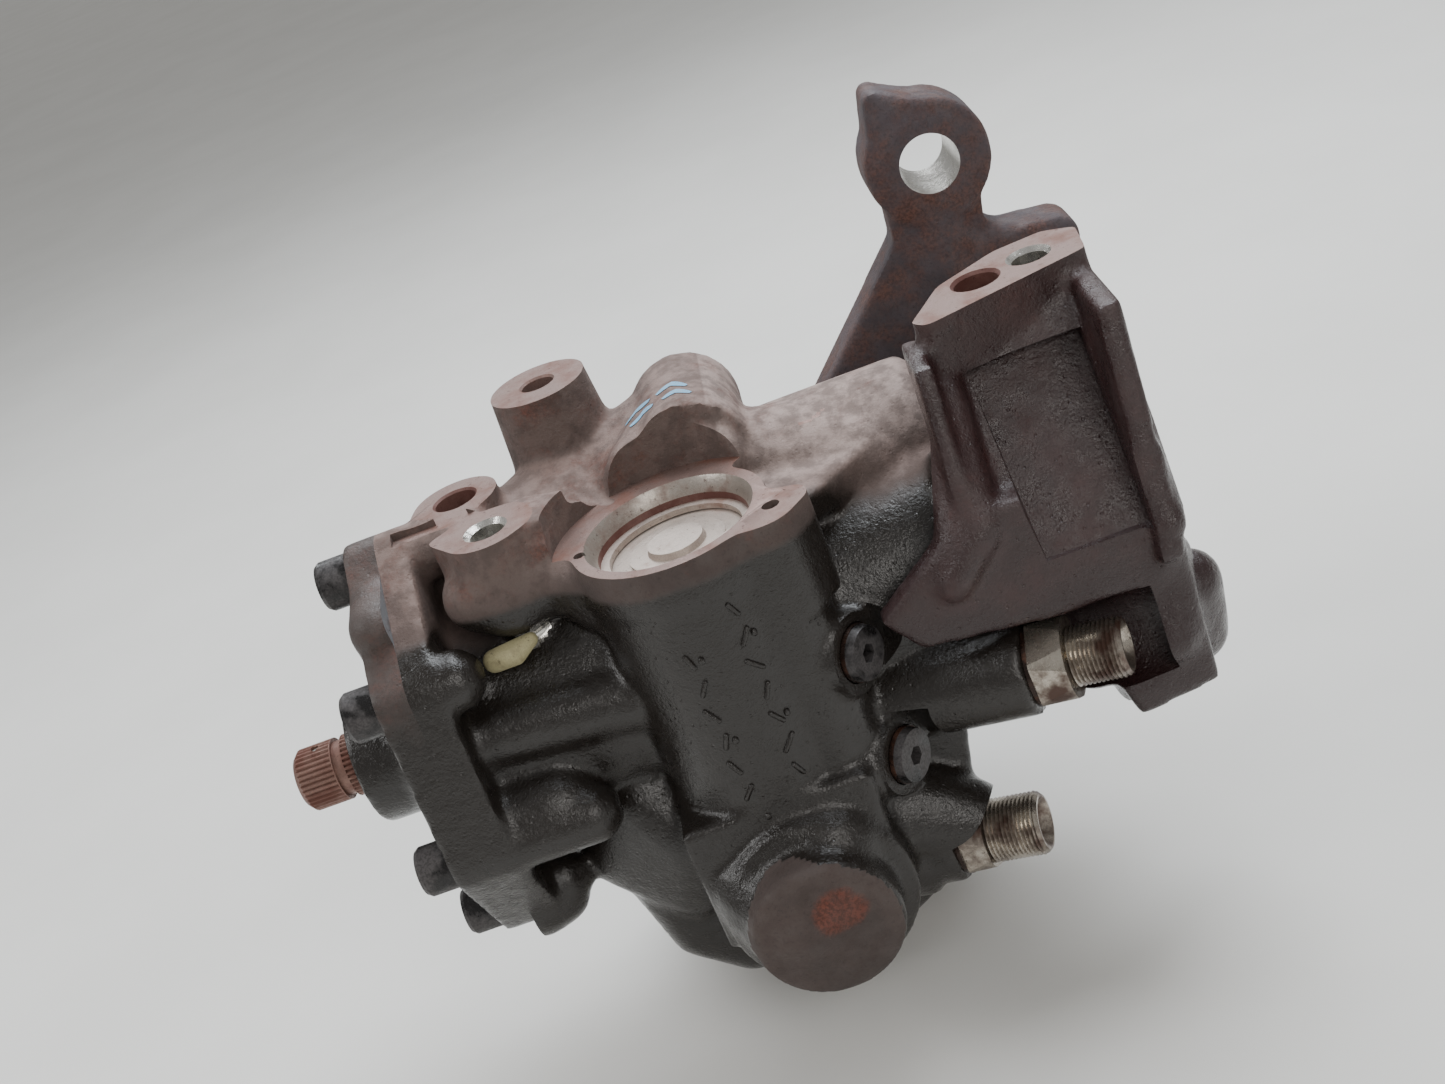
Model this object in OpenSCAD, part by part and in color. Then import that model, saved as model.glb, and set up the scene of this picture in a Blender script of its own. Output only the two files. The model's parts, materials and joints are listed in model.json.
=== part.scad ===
// Integral power-steering gear: recirculating-ball rack piston, gear sector and drop arm.
// Working axes: X along the input shaft and rack, Y along the output shaft, +Z up.
// Working zero: where the output axis crosses the plane that holds the input axis.
// The finished frame is moved so that its origin is the mouth of the tapped mounting boss.

/* [Gear] */
// Height of the input axis above the output axis
centre_distance = 72;  // [66:80]
// Pitch radius of the gear sector
pitch_r = 46;  // [40:50]
// Teeth that a full wheel of this pitch would have
wheel_teeth = 16;  // [14:20]
// Pressure angle
pressure_angle = 20;  // [18:25]
// Gap left on each tooth flank
flank_gap = 0.32;  // [0.3:0.05:0.6]
// Tooth height outside the pitch circle of the sector
sector_addendum = 4.2;  // [3:0.1:5]
// Tooth height of the rack beyond its pitch line
rack_addendum = 4;  // [3:0.1:5]
// Face width of the sector
sector_width = 40;  // [30:44]

/* [Ball screw] */
// Travel of the rack piston for one turn of the worm
worm_lead = 13;  // [10:16]
// Radius of the circle on which the balls run
ball_circle_r = 13;  // [12:15]
// Radius of one ball
ball_r = 3;  // [2.5:0.1:3.2]
// Radius of the ball grooves
groove_r = 3.45;  // [3.3:0.05:3.8]
// Outer radius of the worm
worm_r = 12;  // [11:13]

/* [Cylinder] */
// Radius of the rack cylinder's bore
bore_r = 36;  // [34:38]
// Running gap between the piston and the bore
running_gap = 0.05;  // [0.02:0.01:0.1]
// Outer radius of the rack cylinder
cylinder_r = 43.5;  // [42:46]
// Left end of the bore
bore_x0 = -78;  // [-80:-76]
// Right end of the bore, where the end casting joins
bore_x1 = 108;  // [106:112]
// Left end of the piston at mid travel
piston_x0 = -47;  // [-48:-46]
// Right end of the piston at mid travel
piston_x1 = 75;  // [72:78]

/* [Valve end] */
// Face on which the valve cover sits
cover_x = -101;  // [-102:-100]
// Thickness of the cover's flange
cover_t = 12;  // [10:14]
// Radius of the cover's hub
hub_r = 24;  // [22:26]
// Outer end of the hub
hub_x = -138;  // [-140:-136]
// Outer end of the input stub
stub_x = -164;  // [-168:-160]
// Radius over the stub's serrations
stub_r = 11.5;  // [10:12]
// Radius of the valve sleeve
sleeve_r = 18.95;  // [18:0.05:20]

/* [Output shaft] */
// Radius of the output shaft in its bearings
shaft_r = 18;  // [16:20]
// Inner radius of the sector chamber
chamber_r = 51.5;  // [51:0.5:53]
// Outer radius of the sector chamber
chamber_wall_r = 57.5;  // [57:0.5:60]
// Rear face on which the sector cover sits
rear_y = 44;  // [43:46]
// Outer face of the blind boss in front
blind_y = -87.5;  // [-90:0.5:-84]

/* [Drop arm] */
// Arm eye, measured across from the output axis
eye_x = 122;  // [110:130]
// Arm eye, measured up from the output axis
eye_z = 180;  // [170:190]
// Middle plane of the arm
arm_y = 95;  // [93:98]
// Large radius of the tapered eye
eye_r_big = 11.5;  // [10:0.5:13]
// Small radius of the tapered eye
eye_r_small = 10;  // [8:0.5:11]

/* [Front column] */
// Column axis across
column_x = -3;  // [-6:0]
// Column axis front to back
column_y = -33;  // [-36:-30]
// Radius of the column
column_r = 33;  // [31:34]
// Height of the column's rim
column_z = 134;  // [130:138]
// Radius of the big bore in the column's top
column_bore_r = 26;  // [24:27]
// Spool bore axis front to back
spool_y = -49;  // [-50:-48]
// Radius of the spool bore
spool_bore_r = 7.5;  // [7:0.1:8]

/* [Ports] */
// Angle of both port tubes, turned from +X
port_yaw = -19;  // [-22:-16]
// Rise of both port tubes
port_pitch = 3.2;  // [2:0.1:4]
// Mouth of the upper union
upper_port = [122, -61.6, 50.1];
// Mouth of the lower union
lower_port = [79, -53.8, -10.9];

/* [Mounting] */
// Tapped boss, measured from the working zero
mount_at = [-36, 46.5, 166];
// Radius of the tapped mounting holes
tapped_r = 6;  // [5:0.1:7]
// Radius of the plain mounting holes
plain_r = 7.5;  // [6:0.1:9]
// Height of the end casting's pad
pad_z = 166;  // [164:168]

/* [Hidden] */
$fn = 64;
eps = 0.01;
rack_pitch = 2 * PI * pitch_r / wheel_teeth;
tooth_step = 360 / wheel_teeth;
cover_bolts = [[0, 68], [-41, 38], [-49, -22], [-26, -58], [30, -50], [44, 8], [36, 50]];
cover_screw_end = [-68, -83, -59, -84, -70, -60, -68];
bracket_bolts_yz = [[-24, 42], [-33, -34], [34, -34], [34, 34]];
sector_bolt_angles = [30, 90, 150, 210, 270, 330];
sector_bolt_r = 63;
pad_hole_a = [115.8, -10.2];
pad_hole_b = [134.7, -5.7];
boss_b = [-73.5, 14.5];
boss_c = [-60.9, -20];
low_boss_z = 148;
plug_a = [39.5, -52, 75.5];
plug_b = [42.2, -52, 32.5];
plug_yaw = -38;

// ---------- shared helpers ----------

module framed() {
  translate(-mount_at) children();
}

module on_rack() {
  translate([0, 0, centre_distance]) children();
}

module along_x(x0, x1, r, r2 = -1) {
  translate([x0, 0, 0]) rotate([0, 90, 0])
    cylinder(r1 = r, r2 = r2 < 0 ? r : r2, h = x1 - x0);
}

module along_y(y0, y1, r, r2 = -1) {
  translate([0, y0, 0]) rotate([-90, 0, 0])
    cylinder(r1 = r, r2 = r2 < 0 ? r : r2, h = y1 - y0);
}

module along_z(z0, z1, r, r2 = -1) {
  translate([0, 0, z0]) cylinder(r1 = r, r2 = r2 < 0 ? r : r2, h = z1 - z0);
}

module span(lo, hi) {
  translate(lo) cube(hi - lo);
}

module prism(z0, z1, outline) {
  translate([0, 0, z0]) linear_extrude(height = z1 - z0) polygon(outline);
}

// Local +Z looks out of a port tube, with the mouth of the union at zero

module at_port(mouth) {
  translate(mouth) rotate([0, 90 - port_pitch, port_yaw]) children();
}

// Local +Z looks out of a cross drilling, with the boss face at zero
module at_plug(face) {
  translate(face) rotate([0, 90, plug_yaw]) children();
}

module ring(r_out, r_in, z0, z1) {
  difference() {
    along_z(z0, z1, r_out);
    along_z(z0 - 1, z1 + 1, r_in);
  }
}

module turned_to_x() {
  rotate([0, 90, 0]) children();
}

module turned_to_y() {
  rotate([-90, 0, 0]) children();
}

module hex_prism(flats, h) {
  cylinder(r = flats / 2 / cos(30), h = h, $fn = 6);
}

// Ridged thread profile from z0 up to z1
module thread_rings(r, z0, z1, pitch, depth) {
  count = floor((z1 - z0) / pitch);
  rotate_extrude() polygon(concat(
    [[0, z0], [r - depth, z0]],
    [for (i = [0 : count - 1], s = [0.5, 1]) [s == 0.5 ? r : r - depth, z0 + (i + s) * pitch]],
    [[r - depth, z1], [0, z1]]
  ));
}

// ---------- castings ----------

module flange_outline(x0, x1, r) {
  hull() {
    for (p = cover_bolts) {
      translate([0, p[0], p[1]]) along_x(x0, x1, r);
    }
  }
}

module housing_body() {
  on_rack() {
    along_x(cover_x, bore_x1, cylinder_r);
    flange_outline(cover_x, cover_x + 11, 11);
    for (i = [0 : len(cover_bolts) - 1]) {
      translate([0, cover_bolts[i][0], cover_bolts[i][1]]) {
        along_x(cover_x, cover_screw_end[i], 10.5);
        along_x(cover_screw_end[i], cover_screw_end[i] + 6, 10.5, 5.5);
      }
    }
    for (p = bracket_bolts_yz) {
      translate([0, p[0], p[1]]) along_x(86, bore_x1, 9);
      translate([0, p[0] * 0.84, p[1] * 0.84]) along_x(82, bore_x1, 11);
    }
  }
  // Sector chamber, its rear flange and the blind boss in front
  along_y(-26, rear_y, chamber_wall_r);
  along_y(-36, -26, 40, chamber_wall_r);
  along_y(30, rear_y, 62);
  for (a = sector_bolt_angles) {
    rotate([0, a, 0]) translate([sector_bolt_r, 0, 0]) along_y(29.4, rear_y - 0.5, 8.5);
  }
  along_y(-72, -34, 33);
  along_y(blind_y + 2, -72, 26);
  along_y(blind_y, blind_y + 2, 24, 26);
  // Front column and the boss round its big bore
  translate([column_x, column_y, 0]) {
    along_z(0, column_z, column_r);
    along_z(column_z - 16, column_z - 2, 34);
  }
  span([-36, -66, -10], [30, -34, 40]);
  housing_deck();
  housing_ports();
}

// Upper deck with the mounting bosses, the round boss behind the column and the side bulge
module housing_deck() {
  prism(113, 125, [
    [-58, 30], [-48, 55], [-10, 61], [44, 53], [66, 46], [77, 20], [72, -4], [24, -47], [-30, -46],
    [-58, -20]
  ]);
  prism(100, 114, [
    [-57, 29], [-47, 54], [-9, 60], [43, 52], [65, 45], [76, 19], [71, -3], [24, -30], [-40, -24],
    [-57, -12]
  ]);
  translate([mount_at[0], 38, 0]) along_z(98, 128, 25);
  translate([mount_at[0], mount_at[1], 0]) {
    along_z(138, mount_at[2], 20, 17);
    along_z(118, 138, 25, 20);
  }
  translate(boss_b) along_z(112, low_boss_z, 15.5);
  prism(110, 135, [[-84, -2], [-86, 8], [-68, 26], [-46, 40], [-30, 10], [-56, -10]]);
  translate(boss_c) along_z(116, low_boss_z, 15);
  prism(119, low_boss_z - 0.6, [[-78, -18], [-80, -13], [-69, -6], [-48, -2], [-34, -8], [-36, -24], [-54, -32], [-67, -31]]);
  prism(113.5, 140, [[-56, -6], [-30, -2], [-26, -30], [-50, -31]]);
  translate([10, 0, 136]) along_y(4, 56, 20);
  translate([0, 22, 104]) {
    along_x(8, 34, 29);
    along_x(34, 86, 32);
    along_x(86, 93, 32, 24);
  }
  prism(24, column_z - 0.2, [
    [10, -28], [29, -33], [36, -40], [38, -50], [34, -57], [25, -61.5], [12, -60]
  ]);
}

module housing_ports() {
  at_port(upper_port) along_z(-112, -31.5, 16.5);
  at_port(lower_port) {
    along_z(-66, -30, 15);
    along_z(-66, -42, 18);
  }
  at_plug(plug_a) along_z(-30, 0, 14);
  at_plug(plug_b) along_z(-30, 0, 14);
  // Web between the two port tubes
  hull() {
    translate([30, -34, 36]) cube([38, 12, 8]);
    translate([20, -40, -22]) cube([36, 16, 8]);
  }
}

module housing_cuts() {
  on_rack() {
    along_x(bore_x0, bore_x1 + 1, bore_r);
    along_x(cover_x - 1, -81, 26);
    along_x(-82, bore_x0 + 1, 19);
    for (i = [0 : len(cover_bolts) - 1]) {
      translate([0, cover_bolts[i][0], cover_bolts[i][1]])
        along_x(cover_x - 1, cover_screw_end[i] + 2, 5);
    }
    for (p = bracket_bolts_yz) {
      translate([0, p[0], p[1]]) along_x(88, bore_x1 + 1, 5);
    }
  }
  along_y(-22, rear_y + 1, chamber_r);
  along_y(rear_y - 4, rear_y + 1, 56);
  along_y(-66, -21, 23);
  for (a = sector_bolt_angles) {
    rotate([0, a, 0]) translate([sector_bolt_r, 0, 0]) along_y(38.5, rear_y + 1, 4);
  }
  translate([column_x, column_y, 0]) {
    along_z(116, column_z + 1, column_bore_r);
    along_z(124.2, 127, column_bore_r + 2.2);
    along_z(column_z - 5, column_z + eps, column_bore_r, column_bore_r + 3);
    translate([-31, -2, 0]) along_z(column_z - 12, column_z + 1, 2);
    translate([34, -15, 0]) along_z(column_z - 14, column_z + 1, 3);
  }
  translate([column_x, spool_y, 0]) along_z(38, 117, spool_bore_r);
  translate([mount_at[0], mount_at[1], 0]) along_z(mount_at[2] - 32, mount_at[2] + 1, tapped_r);
  translate(boss_b) along_z(118, low_boss_z + 1, plain_r);
  translate(boss_c) {
    along_z(112, low_boss_z + 1, tapped_r);
    along_z(low_boss_z - 1.5, low_boss_z + eps, tapped_r, tapped_r + 1.5);
  }
  // Room for the hexagons of the unions and the heads of the plugs
  at_port(upper_port) along_z(-31.5, 6, 17);
  at_port(lower_port) along_z(-30, 6, 15.4);
  at_plug(plug_a) along_z(0, 9, 11);
  at_plug(plug_b) along_z(0, 9, 11);
  housing_galleries();
}

module housing_galleries() {
  at_port(upper_port) {
    along_z(-46, -31, 9);
    along_z(-92, -45, 5);
  }
  at_port(lower_port) {
    along_z(-44, -29, 9);
    along_z(-52, -43, 5);
  }
  // Feed from the upper tube to the spool bore, and drain from the sector chamber to the lower one
  translate([column_x, spool_y, 47]) rotate([0, 90, 23.5]) along_z(0, 44, 4);
  translate([30, 0, -13.8]) along_y(-38, -20, 5);
  at_plug(plug_a) {
    along_z(-16, 1, 6);
    along_z(-36, -15, 3);
  }
  at_plug(plug_b) {
    along_z(-16, 1, 6);
    along_z(-52, -15, 3);
  }
}

module gear_housing() {
  color([0.24, 0.21, 0.2]) framed() difference() {
    housing_body();
    housing_cuts();
  }
}

module end_bracket() {
  color([0.3, 0.18, 0.16]) framed() difference() {
    union() {
      bracket_flange();
      bracket_riser();
    }
    bracket_cuts();
  }
}

module bracket_flange() {
  on_rack() {
    along_x(bore_x1, bore_x1 + 12, 46);
    along_x(bore_x1 + 12, bore_x1 + 16, 46, 40);
    for (p = bracket_bolts_yz) {
      translate([0, p[0], p[1]]) along_x(bore_x1, bore_x1 + 12, 10);
    }
  }
}

module bracket_riser() {
  // Mounting pad
  prism(pad_z - 20, pad_z, [[91, -27], [95, -33], [151, -17], [153, 4], [143, 11], [128, 5], [106, -9]]);
  // Back wall, set back under the pad and leaning forward to the foot
  hull() {
    span([88, -22, pad_z - 24], [150, -13, pad_z - 12]);
    span([84, -58, 94], [148, -48, 98]);
  }
  // Lower front wall with its slanted left edge
  rotate([90, 0, 0]) translate([0, 0, 50]) linear_extrude(height = 10)
    polygon([[50, 86], [84, 112], [150, 112], [148, 24], [120, 20], [108, 66], [60, 72]]);
  // Left and right ribs
  hull() {
    span([86, -46, pad_z - 16], [92, -18, pad_z - 8]);
    span([84, -60, 104], [90, -46, 112]);
  }
  hull() {
    span([143, -52, pad_z - 16], [151, -4, pad_z - 6]);
    span([139, -68, 76], [147, -46, 80]);
  }
  hull() {
    translate([0, -54, 0]) along_x_at(76, 139, 147, 8);
    translate([0, -38, 0]) along_x_at(30, 118, 146, 14);
    translate([0, -20, 0]) along_x_at(60, 110, 120, 20);
  }
}

module along_x_at(z, x0, x1, r) {
  translate([0, 0, z]) along_x(x0, x1, r);
}

module bracket_cuts() {
  on_rack() {
    along_x(bore_x1 - 60, bore_x1, cylinder_r + 0.5);
    along_x(bore_x1 - 1, bore_x1 + 5, 33);
    translate([bore_x1, 0, 0]) turned_to_x() ring(40.8, 38.6, -1, 1.6);
    for (p = bracket_bolts_yz) {
      translate([0, p[0], p[1]]) {
        along_x(bore_x1 - 1, bore_x1 + 60, 5.5);
        along_x(bore_x1 + 12, bore_x1 + 60, 10.5);
        along_x(bore_x1 - 60, bore_x1, 9.6);
      }
    }
  }
  translate(pad_hole_a) along_z(pad_z - 40, pad_z + 1, plain_r);
  translate(pad_hole_b) along_z(pad_z - 32, pad_z + 1, tapped_r);
  // Room for the upper port tube
  at_port(upper_port) along_z(-120, 10, 17.2);
}

module bracket_bolts() {
  color([0.35, 0.33, 0.31]) framed() on_rack() for (p = bracket_bolts_yz) {
    translate([bore_x1 + 12, p[0], p[1]]) turned_to_x() difference() {
      union() {
        along_z(-30, 0, 5);
        ring(9.5, 5, 0, 1.5);
        translate([0, 0, 1.5]) hex_prism(16, 6.5);
      }
      along_z(7.4, 9, 5, 5.2);
    }
  }
}

module bracket_seal() {
  color([0.05, 0.05, 0.05]) framed() on_rack()
    translate([bore_x1 + 0.8, 0, 0]) turned_to_x() rotate_extrude()
      translate([39.7, 0]) circle(r = 0.8, $fn = 24);
}

module valve_cover() {
  color([0.26, 0.23, 0.21]) framed() on_rack() difference() {
    union() {
      flange_outline(cover_x - cover_t, cover_x, 11);
      along_x(hub_x + 5, cover_x - cover_t, hub_r);
      along_x(hub_x, hub_x + 5, hub_r - 4, hub_r);
      along_x(cover_x - cover_t - 7, cover_x - cover_t, hub_r, hub_r + 8);
      along_x(cover_x, cover_x + 7, 25.9);
    }
    along_x(-122, cover_x + 8, sleeve_r + 0.05);
    along_x(-132, -121, 15);
    along_x(hub_x - 1, -131.5, 16.5);
    for (p = cover_bolts) {
      translate([0, p[0], p[1]]) along_x(cover_x - cover_t - 1, cover_x + 1, 5.4);
    }
    translate([cover_x, 0, 0]) turned_to_x() ring(31.6, 28.4, -2, 1);
  }
}

module cover_bolts() {
  color([0.3, 0.3, 0.3]) framed() on_rack() for (i = [0 : len(cover_bolts) - 1]) {
    translate([cover_x - cover_t, cover_bolts[i][0], cover_bolts[i][1]]) turned_to_x()
      difference() {
        union() {
          along_z(0, cover_screw_end[i] + 1 - cover_x + cover_t, 5);
          along_z(-10, 0, 8.8);
          along_z(-11.5, -10, 7.8, 8.8);
        }
        translate([0, 0, -12]) hex_prism(8, 6);
      }
  }
}

module cover_seal() {
  color([0.05, 0.05, 0.05]) framed() on_rack() translate([cover_x - 1, 0, 0]) turned_to_x()
    rotate_extrude() translate([30, 0]) circle(r = 1, $fn = 24);
}

// ---------- bearings and seals ----------

module input_bearing() {
  color([0.75, 0.75, 0.77]) framed() on_rack() translate([-131, 0, 0]) turned_to_x() {
    difference() {
      along_z(0, 9, 15);
      along_z(-1, 10, 14);
    }
    for (i = [0 : 17]) {
      rotate([0, 0, i * 20]) translate([12.5, 0, 0.6]) cylinder(r = 1.45, h = 7.8, $fn = 20);
    }
  }
}

module input_seal() {
  color([0.08, 0.08, 0.08]) framed() on_rack() translate([-131.5, 0, 0]) turned_to_x()
    rotate_extrude() polygon([
      [11.05, -3], [12, -4.5], [16.5, -4.5], [16.5, 0], [12.5, 0], [12, -2.4]
    ]);
}

module input_dust_seal() {
  color([0.1, 0.1, 0.1]) framed() on_rack() translate([-136, 0, 0]) turned_to_x()
    rotate_extrude() polygon([
      [11.55, -3.2], [12.6, -4], [14, -2.4], [16.5, -2], [16.5, 0], [13, 0]
    ]);
}

module worm_bearing_outer() {
  color([0.72, 0.72, 0.74]) framed() on_rack() translate([-94, 0, 0]) turned_to_x()
    difference() {
      ring(26, 21.6, 0, 13);
      rotate_extrude() translate([20, 6.5]) circle(r = 3.55, $fn = 36);
    }
}

module worm_bearing_inner() {
  color([0.72, 0.72, 0.74]) framed() on_rack() translate([-94, 0, 0]) turned_to_x() {
    difference() {
      ring(18.4, 15, 0, 13);
      rotate_extrude() translate([20, 6.5]) circle(r = 3.2, $fn = 36);
    }
    for (i = [0 : 15]) {
      rotate([0, 0, i * 22.5]) translate([20, 0, 6.5]) sphere(r = 3.2, $fn = 32);
    }
  }
}

module needle_shell(y0, length) {
  translate([0, y0, 0]) turned_to_y() {
    ring(23, 21.6, 0, length);
    for (i = [0 : 17]) {
      rotate([0, 0, i * 20]) translate([19.85, 0, 1]) cylinder(r = 1.8, h = length - 2, $fn = 20);
    }
  }
}

module sector_bearing_front() {
  color([0.75, 0.75, 0.77]) framed() needle_shell(-62, 32);
}

module sector_bearing_rear() {
  color([0.75, 0.75, 0.77]) framed() needle_shell(rear_y - 3, 24);
}

module sector_thrust_washer() {
  color([0.7, 0.56, 0.3]) framed() turned_to_y() ring(22.5, 8, -66, -63.5);
}

module sector_oil_seal() {
  color([0.08, 0.08, 0.08]) framed() translate([0, 66, 0]) turned_to_y() rotate_extrude()
    polygon([[18.06, 3], [19.4, 4.4], [24, 5], [24, 0], [20, 0], [19.2, 2.2]]);
}

module sector_dust_seal() {
  color([0.1, 0.1, 0.1]) framed() translate([0, 71.5, 0]) turned_to_y() rotate_extrude()
    polygon([[18.08, 4.2], [19.4, 4.6], [21.5, 2.6], [24, 2.4], [24, 0], [20, 0]]);
}

module sector_cover() {
  color([0.27, 0.24, 0.22]) framed() difference() {
    union() {
      along_y(rear_y, rear_y + 10.5, 62);
      for (a = sector_bolt_angles) {
        rotate([0, a, 0]) translate([sector_bolt_r, 0, 0]) along_y(rear_y + 0.5, rear_y + 11, 8.5);
      }
      along_y(rear_y + 10, rear_y + 17, 45, 34);
      along_y(rear_y + 10, 74, 32);
      along_y(rear_y - 3.5, rear_y, 55.9);
    }
    along_y(rear_y - 5, rear_y + 21, 23);
    along_y(rear_y + 20, 80, 24, $fn = 64);
    for (a = sector_bolt_angles) {
      rotate([0, a, 0]) translate([sector_bolt_r, 0, 0]) along_y(rear_y - 1, rear_y + 12, 4.4);
    }
    translate([0, rear_y, 0]) turned_to_y() ring(58.1, 56.5, -1, 1.5);
  }
}

module sector_cover_bolts() {
  color([0.34, 0.32, 0.3]) framed() for (a = sector_bolt_angles) {
    rotate([0, a, 0]) translate([sector_bolt_r, rear_y + 11, 0]) turned_to_y() {
      along_z(-16, 0, 4);
      ring(8, 4, 0, 1.2);
      translate([0, 0, 1.2]) hex_prism(13, 5.3);
    }
  }
}

module sector_cover_seal() {
  color([0.05, 0.05, 0.05]) framed() translate([0, rear_y + 0.75, 0]) turned_to_y()
    rotate_extrude() translate([57.3, 0]) circle(r = 0.75, $fn = 20);
}

// ---------- front column ----------

module column_plug() {
  color([0.62, 0.56, 0.5]) framed() translate([column_x, column_y, 0]) difference() {
    union() {
      along_z(116, 124, column_bore_r - 0.05);
      along_z(124, 127.4, 10.5, 9.5);
      along_z(124, 125.2, 16.5);
    }
    ring(column_bore_r + 1, column_bore_r - 2.4, 119, 122);
    along_z(115, 118.2, 23);
  }
}

module snap_ring() {
  color([0.5, 0.47, 0.43]) framed() translate([column_x, column_y, 0]) {
    difference() {
      ring(column_bore_r + 2, column_bore_r - 3, 124.4, 126.4);
      rotate([0, 0, -40]) translate([0, -5, 120]) cube([40, 10, 10]);
    }
    for (s = [-1, 1]) {
      rotate([0, 0, -40 + s * 16]) translate([column_bore_r - 5, 0, 0])
        ring(3.6, 1.2, 124.4, 126.4, $fn = 32);
    }
  }
}

module plug_seal() {
  color([0.05, 0.05, 0.05]) framed() translate([column_x, column_y, 120.5]) rotate_extrude()
    translate([column_bore_r - 1.2, 0]) circle(r = 1.15, $fn = 24);
}

module limiter_seat() {
  color([0.66, 0.62, 0.55]) framed() translate([column_x, spool_y, 0]) difference() {
    along_z(50, 62, spool_bore_r);
    along_z(49, 63, 2.5);
    translate([0, 0, 59]) hex_prism(8, 4);
  }
}

module limiter_spool() {
  color([0.74, 0.74, 0.76]) framed() translate([column_x, spool_y, 0]) difference() {
    union() {
      along_z(62.1, 72, spool_bore_r - running_gap);
      along_z(71, 84, 5);
      along_z(83, 96, spool_bore_r - running_gap);
      along_z(95, 99, 4);
    }
    ring(spool_bore_r + 1, spool_bore_r - 0.8, 86, 87);
    ring(spool_bore_r + 1, spool_bore_r - 0.8, 90, 91);
    along_z(61, 80, 2);
  }
}

module limiter_spring() {
  color([0.45, 0.46, 0.48]) framed() translate([column_x, spool_y, 96.9]) {
    linear_extrude(height = 20.4, twist = -360 * 5, slices = 90, segments = 8)
      translate([5.4, 0]) scale([1, 2.2]) circle(r = 0.75, $fn = 8);
    ring(6.2, 4.6, -0.8, 0.8, $fn = 32);
    ring(6.2, 4.6, 19.6, 21.2, $fn = 32);
  }
}

// ---------- ports ----------

module union_body(flats, hex_t, thread_r, thread_l, stem_l) {
  difference() {
    union() {
      thread_rings(thread_r, -thread_l, -1.2, 1.5, 0.85);
      along_z(-1.2, 0, thread_r - 0.4, thread_r - 1.5);
      intersection() {
        translate([0, 0, -thread_l - hex_t]) hex_prism(flats, hex_t);
        along_z(-thread_l - hex_t, -thread_l, flats / 2 + 1.6, flats / 2 + 0.4);
      }
      along_z(-thread_l - hex_t - stem_l, -thread_l - hex_t, 9);
    }
    along_z(-5, eps, 4, thread_r - 2.4);
    along_z(-thread_l - hex_t - stem_l - 1, 0, 4);
  }
}

module pressure_fitting() {
  color([0.66, 0.63, 0.58]) framed() at_port(upper_port) union_body(27, 11.5, 10.2, 18.5, 13);
}

module return_fitting() {
  color([0.68, 0.66, 0.62]) framed() at_port(lower_port) union_body(24, 9, 11, 19.5, 14);
}

module fitting_washers() {
  color([0.66, 0.4, 0.26]) framed() {
    at_port(upper_port) ring(14, 9, -31.5, -30);
    at_port(lower_port) ring(13, 9, -30, -28.5);
  }
}

module socket_plug() {
  difference() {
    union() {
      along_z(-12, 1.5, 6);
      along_z(1.5, 4.5, 9.5, 9);
    }
    translate([0, 0, -2]) hex_prism(6, 8);
  }
}

module port_plugs() {
  color([0.3, 0.28, 0.26]) framed() {
    at_plug(plug_a) socket_plug();
    at_plug(plug_b) socket_plug();
  }
}

module plug_washers() {
  color([0.66, 0.4, 0.26]) framed() {
    at_plug(plug_a) ring(9.8, 6, 0, 1.5);
    at_plug(plug_b) ring(9.8, 6, 0, 1.5);
  }
}

// ---------- output shaft ----------

function involute(base_r, t) = let (a = t * 180 / PI)
  [base_r * (sin(a) - t * cos(a)), base_r * (cos(a) + t * sin(a))];

// One tooth, pointing up, centred on the vertical
module sector_tooth(tip_r, root_r) {
  base_r = pitch_r * cos(pressure_angle);
  t_tip = sqrt(pow(tip_r / base_r, 2) - 1);
  t_pitch = tan(pressure_angle);
  half = 90 / wheel_teeth - flank_gap / 2 / pitch_r * 180 / PI;
  lead_in = half + t_pitch * 180 / PI - pressure_angle;
  flank = [for (i = [0 : 6]) involute(base_r, t_tip * i / 6)];
  side = [for (p = flank) [
    p[0] * cos(lead_in) - p[1] * sin(lead_in),
    p[0] * sin(lead_in) + p[1] * cos(lead_in)
  ]];
  foot = [-root_r * sin(lead_in), (root_r - 4) * cos(lead_in)];
  polygon(concat(
    [foot], side,
    [for (i = [6 : -1 : 0]) [-side[i][0], side[i][1]]],
    [[-foot[0], foot[1]]]
  ));
}

module sector_shaft() {
  root_r = pitch_r - rack_addendum - 0.8;
  color([0.6, 0.6, 0.62]) framed() difference() {
    union() {
      along_y(-63.2, 76, shaft_r);
      along_y(76, 106, 17.2, 16.6);
      along_y(106, 126, 13.5);
      along_y(-sector_width / 2, sector_width / 2, 26);
      rotate([90, 0, 0]) translate([0, 0, -sector_width / 2])
        linear_extrude(height = sector_width) {
          for (k = [-2 : 2]) {
            rotate([0, 0, -k * tooth_step]) sector_tooth(pitch_r + sector_addendum, root_r);
          }
          intersection() {
            circle(r = root_r);
            polygon([[0, 0], [-62, 45], [-30, 76], [30, 76], [62, 45]]);
          }
        }
    }
    for (i = [0 : 35]) {
      rotate([0, i * 10, 0]) translate([17.4, 91, 0]) rotate([0, 0, 45])
        cube([1.2, 1.2, 30], center = true, $fn = 4);
    }
  }
}

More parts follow.
